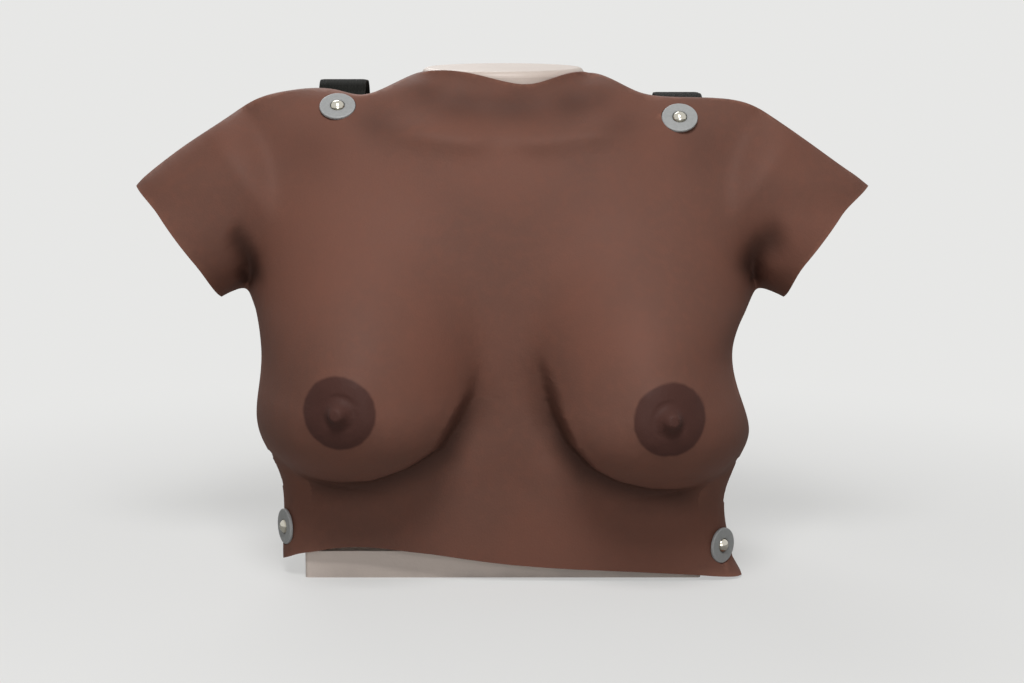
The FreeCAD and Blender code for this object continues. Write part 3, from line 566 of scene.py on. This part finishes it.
skin_finish = Finish("moulded_brown_elastomer")
where = skin_finish.place()
patches = skin_finish.noise(0.075, detail=3.0)
freckle = skin_finish.noise(0.006, detail=2.0)
tone = skin_finish.mix(patches.ramp(0.36, 0.66), SKIN_DULL, SKIN_COLOUR)
tone = skin_finish.mix(freckle.ramp(0.42, 0.75) * 0.35, tone, SKIN_WARM)
# Painted shade in the folds, hollows and wrinkles darkens the skin's colour.
shade = skin_finish.node("ShaderNodeAttribute", output="Fac", attribute_name="fold_shade")
tone = skin_finish.mix(shade * 0.9, tone, SKIN_SHADE)
areola = None
nipple = None
flat = skin_finish.node("ShaderNodeVectorMath", {0: where, 1: (1.0, 0.0, 1.0)}, operation="MULTIPLY")
for centre, axis in zip(NIPPLES, NIPPLE_AXES):
    offset = skin_finish.node("ShaderNodeVectorMath", {0: flat, 1: (centre.x, 0.0, centre.z)},
                              output="Value", operation="DISTANCE")
    ragged = offset + (skin_finish.noise(0.012, detail=2.0) - 0.5) * AREOLA_RAGGED
    patch = ragged.ramp(AREOLA_RADIUS + AREOLA_FADE_OUT, AREOLA_RADIUS - AREOLA_FADE_IN)
    tip = skin_finish.radius(centre, axis).ramp(*NIPPLE_TINT)
    areola = patch if areola is None else areola + patch
    nipple = tip if nipple is None else nipple + tip
front = skin_finish.node("ShaderNodeSeparateXYZ", {0: where}, output="Y").ramp(*BREAST_FRONT)
areola = areola * front
nipple = nipple * front
tone = skin_finish.mix(areola, tone, AREOLA_COLOUR)
tone = skin_finish.mix(nipple * 0.8, tone, NIPPLE_COLOUR)
edge = skin_finish.node("ShaderNodeAttribute", output="Fac", attribute_name="cut_edge")
tone = skin_finish.mix(edge * 0.65, tone, EDGE_COLOUR)
pebbles = skin_finish.cells(0.0016)
grain = skin_finish.noise(0.0009, detail=2.0)
swell = skin_finish.noise(0.011, detail=2.0)
glands = skin_finish.cells(0.0042).ramp(0.55, 0.15) * areola
skin_finish.set(Base_Color=tone, Roughness=0.56 + freckle * 0.08 - areola * 0.05,
                Specular_IOR_Level=0.10)
skin_finish.bump(pebbles * 0.14 + grain * 0.12 + swell * 0.30 + glands * 0.12, 0.0009, 0.45)
skin.data.materials.append(skin_finish.material)
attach(skin, "torso")
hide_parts("torso_skin")


# The support. A hard moulding in cream plastic that fills the skin: its neck
# shows over the neckline and its foot under the hem. Satin, with the faint
# orange peel of a cast surface, with painted light that makes it paler towards
# the foot, and darker in patches in its lowest 12 mm.

CREAM = (0.600, 0.505, 0.445, 1.0)
CREAM_PALE = (0.640, 0.550, 0.490, 1.0)
CREAM_FOOT_PAINTED_LIGHT = (0.800, 0.690, 0.620, 1.0)
CREAM_LOW_DARKER = (0.560, 0.480, 0.430, 1.0)

support_finish = Finish("cream_moulding")
height = support_finish.node("ShaderNodeSeparateXYZ", {0: support_finish.place()}, output="Z")
cloud = support_finish.noise(0.07, detail=3.0)
cream = support_finish.mix(cloud.ramp(0.35, 0.7), CREAM, CREAM_PALE)
# Painted light: the cream is painted paler below 12 cm, most at 4 cm and under.
cream = support_finish.mix(height.ramp(0.120, 0.040) * 0.8, cream, CREAM_FOOT_PAINTED_LIGHT)
# Darker in patches in the lowest 12 mm.
low_darkening = height.ramp(0.012, 0.0) * support_finish.noise(0.030, detail=3.0).ramp(0.25, 0.75)
cream = support_finish.mix(low_darkening * 0.6, cream, CREAM_LOW_DARKER)
peel = support_finish.noise(0.0022, detail=2.0)
support_finish.set(Base_Color=cream, Roughness=0.36 + cloud * 0.14, Specular_IOR_Level=0.5)
support_finish.bump(peel, 0.0004, 0.35)
nodes["torso_support"].material_slots[0].material = support_finish.material


# Washers and rivets. Grey nylon washers, turned to a low rim, are drawn into
# the skin by domed plated rivets, whose tails are spread over small steel
# washers behind the webbing.

WASHER_GREY = (0.335, 0.342, 0.340, 1.0)
WASHER_DARK = (0.225, 0.229, 0.228, 1.0)
WASHER_DOME_SHADE = (0.0060, 0.0047)
WASHER_RIM = (0.0101, 0.0108)
RIVET_RIM = (0.0036, 0.0045)
WASHER_RUBBED = (0.42, 0.43, 0.43, 1.0)
WASHER_RINGS = 9000.0
DOME_COLOUR = (0.66, 0.63, 0.55, 1.0)
DOME_PAINTED_REFLECTION = (0.25, 0.22, 0.15, 1.0)
STEEL_COLOUR = (0.46, 0.46, 0.45, 1.0)
STEEL_STAIN = (0.34, 0.33, 0.31, 1.0)
STEEL_RINGS = 16000.0


def middle(node):
    """The middle of a node's box."""
    low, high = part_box(node)
    return (low + high) / 2.0


for spot in ("left_shoulder", "right_shoulder", "left_flank", "right_flank"):
    centre = middle(spot + "_washer")
    axis = (centre - middle(spot + "_backing_washer")).normalized()

    washer_finish = Finish(spot + "_washer_nylon")
    radius = washer_finish.radius(centre, axis)
    rings = (radius * WASHER_RINGS).sine()
    mottle = washer_finish.noise(0.0016, detail=3.0)
    # Painted shade in a ring round the rivet's dome; with a random mottle, it darkens the grey.
    painted_dome_shade = radius.ramp(*WASHER_DOME_SHADE)
    outer = radius.ramp(*WASHER_RIM)
    grey = washer_finish.mix(mottle.ramp(0.3, 0.75) * 0.35 + painted_dome_shade * 0.5, WASHER_GREY, WASHER_DARK)
    grey = washer_finish.mix(outer * 0.35, grey, WASHER_RUBBED)
    washer_finish.set(Base_Color=grey, Roughness=0.38 + mottle * 0.15, Specular_IOR_Level=0.5)
    washer_finish.bump(rings * 0.25 + mottle * 0.5, 0.00012, 0.7)
    nodes[spot + "_washer"].material_slots[0].material = washer_finish.material

    rivet_finish = Finish(spot + "_rivet_plating")
    scratch = rivet_finish.noise(0.0007, detail=3.0)
    radius = rivet_finish.radius(centre, axis)
    # Painted dark reflection round the rim of the dome.
    painted_dark_reflection = radius.ramp(*RIVET_RIM)
    plating = rivet_finish.mix(painted_dark_reflection * 0.6, DOME_COLOUR, DOME_PAINTED_REFLECTION)
    rivet_finish.set(Base_Color=plating, Metallic=1.0, Roughness=0.09 + scratch * 0.10)
    rivet_finish.bump(scratch, 0.00004, 0.5)
    nodes[spot + "_rivet"].material_slots[0].material = rivet_finish.material

    steel_finish = Finish(spot + "_backing_steel")
    radius = steel_finish.radius(centre, axis)
    turned = (radius * STEEL_RINGS).sine()
    stain = steel_finish.noise(0.003, detail=3.0)
    steel = steel_finish.mix(stain.ramp(0.4, 0.7), STEEL_COLOUR, STEEL_STAIN)
    steel_finish.set(Base_Color=steel, Metallic=1.0, Roughness=0.30 + stain * 0.18)
    steel_finish.bump(turned, 0.00005, 0.6)
    nodes[spot + "_backing_washer"].material_slots[0].material = steel_finish.material


# The harness. Flat black webbing, woven with a ribbed face and rounded
# selvedges: two straps go over the shoulders and down the back, one goes round
# the waist, and they are sewn together where they meet at the foot.

WEBBING_THICKNESS = 0.0015
WEBBING_STEP = 0.0025
SELVEDGE_ROUNDING = 0.0005
SELVEDGE_THINNING = 0.35
SELVEDGE_FADE = (0.88, 1.0)
RIB_WIDTH = 0.0021
PICK_LENGTH = 0.0013
SHOULDER_WIDTH = 0.030
WAIST_WIDTH = 0.022
WEBBING_COLOUR = (0.0035, 0.0036, 0.0026, 1.0)
WEBBING_WORN = (0.0120, 0.0118, 0.0090, 1.0)
# The shoulder straps' routes are y and z, the waist strap's x and y, in mm.
LEFT_ROUTE = ((4.7, 277.1), (13.7, 286.7), (20.1, 291.8), (28.5, 296.4), (44.7, 300.6),
              (56.7, 307.8), (76.7, 307.8), (100.9, 303.0), (112.4, 286.6), (114.9, 261.6),
              (114.9, 253.0), (114.9, 200.6), (114.9, 139.6), (114.9, 78.5), (114.9, 17.5))
RIGHT_ROUTE = ((4.7, 270.4), (13.4, 281.8), (19.3, 287.2), (27.7, 292.4), (44.7, 296.4),
               (56.7, 299.4), (76.7, 299.2), (100.9, 295.6), (112.4, 281.4), (114.9, 257.4),
               (114.9, 250.0), (114.9, 197.4), (114.9, 137.4), (114.9, 77.5), (114.9, 17.5))
WAIST_ROUTE = ((-122.2, -24.7), (-125.8, -21.8), (-128.5, -18.4), (-129.9, -15.9),
               (-130.7, -13.9), (-123.2, 41.7), (-119.7, 71.7), (-119.2, 99.7),
               (-118.2, 104.8), (-115.4, 109.1), (-111.1, 111.9), (-106.0, 112.9),
               (0.0, 112.9), (106.0, 112.9), (111.1, 111.9), (115.4, 109.1), (118.2, 104.8),
               (119.2, 99.7), (119.7, 71.7), (123.2, 41.7), (133.0, -20.9), (132.2, -21.9),
               (130.9, -23.2), (128.1, -25.3), (124.3, -27.4))
LEFT_STRAP_X = -0.104
RIGHT_STRAP_X = 0.114
WAIST_STRAP_Z = 0.0285


def apply_modifier(piece, kind, **settings):
    """Add a modifier with these settings, and apply it."""
    modifier = piece.modifiers.new(kind.lower(), kind)
    for setting, value in settings.items():
        setattr(modifier, setting, value)
    bpy.context.view_layer.objects.active = piece
    bpy.ops.object.modifier_apply(modifier=modifier.name)


def smooth_route(points):
    """Evenly fine points on a smooth line through the route's points."""
    line = bpy.data.curves.new("route", "CURVE")
    line.dimensions = "3D"
    line.resolution_u = 24
    spline = line.splines.new("BEZIER")
    spline.bezier_points.add(len(points) - 1)
    for knot, point in zip(spline.bezier_points, points):
        knot.co = point
        knot.handle_left_type = "AUTO"
        knot.handle_right_type = "AUTO"
    holder = bpy.data.objects.new("route", line)
    drawn = bpy.data.meshes.new_from_object(holder)
    found = [vertex.co.copy() for vertex in drawn.vertices]
    bpy.data.objects.remove(holder)
    bpy.data.curves.remove(line)
    bpy.data.meshes.remove(drawn)
    return found


def lay_webbing(name, points, width, way):
    """Weave a flat strip of the route's length, and lay it along the route."""
    line = smooth_route(points)
    reach = [0.0]
    for start, end in zip(line, line[1:]):
        reach.append(reach[-1] + (end - start).length)
    rows = int(reach[-1] / WEBBING_STEP)
    deselect()
    bpy.ops.mesh.primitive_grid_add(x_subdivisions=12, y_subdivisions=rows, size=1.0,
                                    calc_uvs=True)
    strip = bpy.context.object
    strip.name = name
    bpy.ops.object.mode_set(mode="EDIT")
    bpy.ops.mesh.select_all(action="SELECT")
    bpy.ops.transform.resize(value=(width, reach[-1], 1.0))
    bpy.ops.object.mode_set(mode="OBJECT")
    apply_modifier(strip, "SOLIDIFY", thickness=WEBBING_THICKNESS, offset=0.0)
    apply_modifier(strip, "BEVEL", width=SELVEDGE_ROUNDING, segments=2, limit_method="ANGLE")
    last = len(line) - 2
    at = 0
    for vertex in sorted(strip.data.vertices, key=lambda v: v.co.y):
        along = min(max(vertex.co.y + 0.5 * reach[-1], 0.0), reach[-1])
        while at < last and reach[at + 1] < along:
            at += 1
        run = line[at + 1] - line[at]
        before = line[at] - line[at - 1] if at > 0 else run
        after = line[at + 2] - line[at + 1] if at < last else run
        share = (along - reach[at]) / max(run.length, 1e-9)
        tangent = (before.normalized() + run.normalized()).lerp(
            run.normalized() + after.normalized(), share).normalized()
        across = way.cross(tangent).normalized()
        side = abs(vertex.co.x) / (0.5 * width)
        thickness = 1.0 - SELVEDGE_THINNING * smooth_share(side, *SELVEDGE_FADE)
        middle_line = line[at].lerp(line[at + 1], share)
        vertex.co = middle_line + way * vertex.co.x + across * vertex.co.z * thickness
    bpy.ops.object.mode_set(mode="EDIT")
    bpy.ops.mesh.select_all(action="SELECT")
    bpy.ops.mesh.normals_make_consistent(inside=False)
    bpy.ops.object.mode_set(mode="OBJECT")
    bpy.ops.object.shade_smooth()
    return strip, reach[-1]


def webbing_finish(name, width, length):
    """Ribbed black weave that follows the strip from edge to edge."""
    finish = Finish(name)
    flat = finish.node("ShaderNodeTexCoord", output="UV")
    across = finish.node("ShaderNodeSeparateXYZ", {0: flat}, output="X") * width
    along = finish.node("ShaderNodeSeparateXYZ", {0: flat}, output="Y") * length
    rib = (across * (math.tau / RIB_WIDTH)).sine()
    pick = (along * (math.tau / PICK_LENGTH) + rib * 1.4).sine()
    weave = rib * 0.5 + pick * 0.5
    fuzz = finish.noise(0.0006, detail=3.0)
    worn = finish.noise(0.012, detail=3.0).ramp(0.45, 0.75)
    shade = finish.mix(weave.ramp(-0.4, 0.9) * 0.55 + worn * 0.3, WEBBING_COLOUR, WEBBING_WORN)
    finish.set(Base_Color=shade, Roughness=0.82 + fuzz * 0.12, Specular_IOR_Level=0.12)
    finish.set(Sheen_Weight=0.06, Sheen_Roughness=0.5)
    finish.bump(weave + fuzz * 0.5, 0.00025, 0.8)
    return finish.material


straps = (
    ("left_shoulder_webbing", "left_shoulder_strap", LEFT_ROUTE, LEFT_STRAP_X, SHOULDER_WIDTH),
    ("right_shoulder_webbing", "right_shoulder_strap", RIGHT_ROUTE, RIGHT_STRAP_X, SHOULDER_WIDTH),
    ("waist_webbing", "waist_strap", WAIST_ROUTE, WAIST_STRAP_Z, WAIST_WIDTH),
)
for name, node, route, level, width in straps:
    if node == "waist_strap":
        points = [Vector((x / 1000.0, y / 1000.0, level)) for x, y in route]
        way = Vector((0.0, 0.0, 1.0))
    else:
        points = [Vector((level, y / 1000.0, z / 1000.0)) for y, z in route]
        way = Vector((1.0, 0.0, 0.0))
    strip, length = lay_webbing(name, points, width, way)
    strip.data.materials.append(webbing_finish(name + "_weave", width, length))
    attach(strip, "torso")
    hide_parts(node)


# The sewing. Bar-tacked boxes of black thread join each shoulder strap to the
# waist strap behind the foot.

THREAD_COLOUR = (0.028, 0.028, 0.026, 1.0)
THREAD_SHINE = (0.05, 0.05, 0.047, 1.0)
STITCH_LENGTH = 0.0027
STITCH_PITCH = 1.25 * STITCH_LENGTH
STITCH_THICKNESS = 0.0006
STITCH_DIP = 0.35 * STITCH_THICKNESS
STITCH_NARROWING = 0.93
SEWN_Y = 0.11605
SEWN_LOW = 0.0205
SEWN_HIGH = 0.0370
SEWN_HALF_WIDTH = 0.0115

thread_finish = Finish("black_thread")
strand = thread_finish.noise(0.0004, detail=2.0)
thread = thread_finish.mix(strand.ramp(0.35, 0.7), THREAD_COLOUR, THREAD_SHINE)
thread_finish.set(Base_Color=thread, Roughness=0.6 + strand * 0.2)
thread_finish.bump(strand, 0.0001, 0.6)


def sew(name, strap_x):
    """A box of stitches with a cross in it, one mesh."""
    left, right = strap_x - SEWN_HALF_WIDTH, strap_x + SEWN_HALF_WIDTH
    places = ((left, SEWN_LOW), (right, SEWN_LOW), (right, SEWN_HIGH), (left, SEWN_HIGH))
    corners = [Vector((x, SEWN_Y, z)) for x, z in places]
    runs = list(zip(corners, corners[1:] + corners[:1]))
    runs += [(corners[0], corners[2]), (corners[1], corners[3])]
    deselect()
    stitches = []
    for start, end in runs:
        run = end - start
        count = max(int(run.length / STITCH_PITCH), 1)
        for number in range(count):
            place = start + run * ((number + 0.5) / count)
            bpy.ops.mesh.primitive_cylinder_add(vertices=6, radius=0.5 * STITCH_THICKNESS,
                                                depth=STITCH_LENGTH, end_fill_type="TRIFAN")
            stitch = bpy.context.object
            stitch.data.transform(run.to_track_quat("Z", "Y").to_matrix().to_4x4())
            for vertex in stitch.data.vertices:
                if vertex.co.length > 0.45 * STITCH_LENGTH:
                    vertex.co *= STITCH_NARROWING
                    vertex.co.y -= STITCH_DIP
                vertex.co += place
            stitch.location = (0.0, 0.0, 0.0)
            stitches.append(stitch)
    deselect()
    for stitch in stitches:
        stitch.select_set(True)
    bpy.context.view_layer.objects.active = stitches[0]
    bpy.ops.object.join()
    seam = bpy.context.object
    seam.name = name
    bpy.ops.object.shade_smooth()
    seam.data.materials.append(thread_finish.material)
    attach(seam, "torso")


sew("left_sewn_box", LEFT_STRAP_X)
sew("right_sewn_box", RIGHT_STRAP_X)


# The adjusters. Black moulded plastic, slightly glossy, with the webbing
# threaded behind the middle bar; they slide up and down the back straps.

SLIDER_COLOUR = (0.016, 0.016, 0.017, 1.0)
SLIDER_RUBBED = (0.035, 0.035, 0.036, 1.0)

slider_finish = Finish("black_moulded_plastic")
spark = slider_finish.noise(0.0006, detail=2.0)
rub = slider_finish.noise(0.009, detail=3.0).ramp(0.5, 0.75)
slider_finish.set(Base_Color=slider_finish.mix(rub * 0.5, SLIDER_COLOUR, SLIDER_RUBBED),
                  Roughness=0.40 + spark * 0.18, Specular_IOR_Level=0.5)
slider_finish.bump(spark, 0.0001, 0.6)
for side in ("left", "right"):
    nodes[side + "_strap_slider"].material_slots[0].material = slider_finish.material


# The fillings. Soft pale gel pads that fill the breasts, with firmer lumps of
# three kinds cast into them to be felt for.

GEL_COLOUR = (0.60, 0.47, 0.39, 1.0)
GEL_VEINED = (0.52, 0.37, 0.30, 1.0)
LUMP_COLOUR = (0.42, 0.27, 0.20, 1.0)
LUMP_SPECK = (0.34, 0.21, 0.16, 1.0)
PAD_VOXEL = 0.0025

gel_finish = Finish("pale_gel")
swirl = gel_finish.noise(0.02, detail=4.0)
gel_finish.set(Base_Color=gel_finish.mix(swirl.ramp(0.4, 0.7), GEL_COLOUR, GEL_VEINED),
               Roughness=0.28 + swirl * 0.15, Specular_IOR_Level=0.5)
gel_finish.bump(gel_finish.noise(0.004, detail=2.0), 0.0005, 0.4)
lump_finish = Finish("firm_lump_rubber")
speck = lump_finish.noise(0.0015, detail=3.0)
lump_finish.set(Base_Color=lump_finish.mix(speck.ramp(0.4, 0.7), LUMP_COLOUR, LUMP_SPECK),
                Roughness=0.5 + speck * 0.15)
lump_finish.bump(speck, 0.0003, 0.5)
for side in ("left", "right"):
    pad = copy_of_node(side + "_gel_pad", side + "_breast_filling")
    apply_modifier(pad, "REMESH", mode="VOXEL", voxel_size=PAD_VOXEL)
    apply_modifier(pad, "SMOOTH", factor=0.5, iterations=4)
    for vertex in pad.data.vertices:
        vertex.co.y += fold_back(vertex.co, TRUNK_INSIDE_Y)
    bpy.ops.object.shade_smooth()
    pad.data.materials.append(gel_finish.material)
    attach(pad, "torso")
    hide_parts(side + "_breast_filling")
    for kind in ("round", "smooth", "deep"):
        nodes[side + "_" + kind + "_lump"].material_slots[0].material = lump_finish.material
